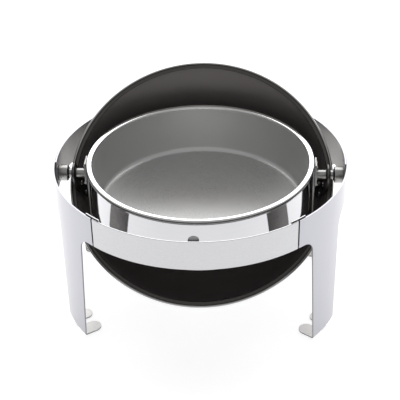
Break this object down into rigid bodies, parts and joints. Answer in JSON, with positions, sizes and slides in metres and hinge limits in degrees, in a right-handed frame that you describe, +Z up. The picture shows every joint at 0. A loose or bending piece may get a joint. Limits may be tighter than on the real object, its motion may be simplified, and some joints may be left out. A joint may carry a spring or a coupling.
{
  "type": "chafing dish food warmer",
  "caption": "Round stainless chafing dish: curved legs carry a ring, a water pan hung between side pivots, a lift-out food pan and a domed lid that rolls back round both.",
  "frame": {"origin": "on the floor under the ring's centre", "axes": "+X to the dish's right pivot, -Y towards the diner (front), +Z up; lid rolled open"},
  "size_m": [0.48, 0.4849, 0.3326],
  "materials": {
    "leg_polished": "polished stainless sheet",
    "band_brushed": "fine brushed stainless band",
    "pan_satin": "satin inside, polished rim",
    "water_pan_mirror": "mirror polished",
    "lid_shell": "mirror outside, satin inside",
    "handle_polished": "polished",
    "washer_black": "matt black",
    "rest_rubber": "grey rubber",
    "bracket_steel": "plain stainless",
    "fixing_steel": "plain stainless",
    "pivot_steel": "satin turned stainless"
  },
  "bodies": {
    "stand": {"band_front": "band_brushed", "band_rear": "band_brushed", "collar_left": "pivot_steel", "collar_right": "pivot_steel", "cradle_strap": "bracket_steel", "friction_washer_left": "washer_black", "friction_washer_right": "washer_black", "hanger_plate_left": "bracket_steel", "hanger_plate_right": "bracket_steel", "inner_washer_left": "washer_black", "inner_washer_right": "washer_black", "leg_front_left": "leg_polished", "leg_front_right": "leg_polished", "leg_rear_left": "leg_polished", "leg_rear_right": "leg_polished", "lid_rest_button": "rest_rubber", "lid_rest_lug": "bracket_steel", "outer_washer_left": "washer_black", "outer_washer_right": "washer_black", "pivot_boss_left": "pivot_steel", "pivot_boss_right": "pivot_steel", "pivot_pin_left": "fixing_steel", "pivot_pin_right": "fixing_steel", "plate_screw_left_1": "fixing_steel", "plate_screw_left_2": "fixing_steel", "plate_screw_left_3": "fixing_steel", "plate_screw_left_4": "fixing_steel", "plate_screw_right_1": "fixing_steel", "plate_screw_right_2": "fixing_steel", "plate_screw_right_3": "fixing_steel", "plate_screw_right_4": "fixing_steel", "spacer_tube_left": "pivot_steel", "spacer_tube_right": "pivot_steel", "water_pan": "water_pan_mirror"},
    "lid": {"ear_rivet_left_1": "fixing_steel", "ear_rivet_left_2": "fixing_steel", "ear_rivet_left_3": "fixing_steel", "ear_rivet_right_1": "fixing_steel", "ear_rivet_right_2": "fixing_steel", "ear_rivet_right_3": "fixing_steel", "handle_foot_left": "handle_polished", "handle_foot_right": "handle_polished", "lid_dome": "lid_shell", "lid_ear_left": "bracket_steel", "lid_ear_right": "bracket_steel", "lid_handle": "handle_polished"},
    "food_pan": {"food_pan": "pan_satin"}
  },
  "joints": [
    {"name": "lid_roll", "type": "hinge", "parent": "stand", "child": "lid", "pos_m": [0, 0, 0.224], "axis": [1, 0, 0], "range_deg": [0, 143.5]},
    {"name": "food_pan_lift", "type": "slide", "parent": "stand", "child": "food_pan", "axis": [0, 0, 1], "range_m": [0, 0.05]}
  ]
}
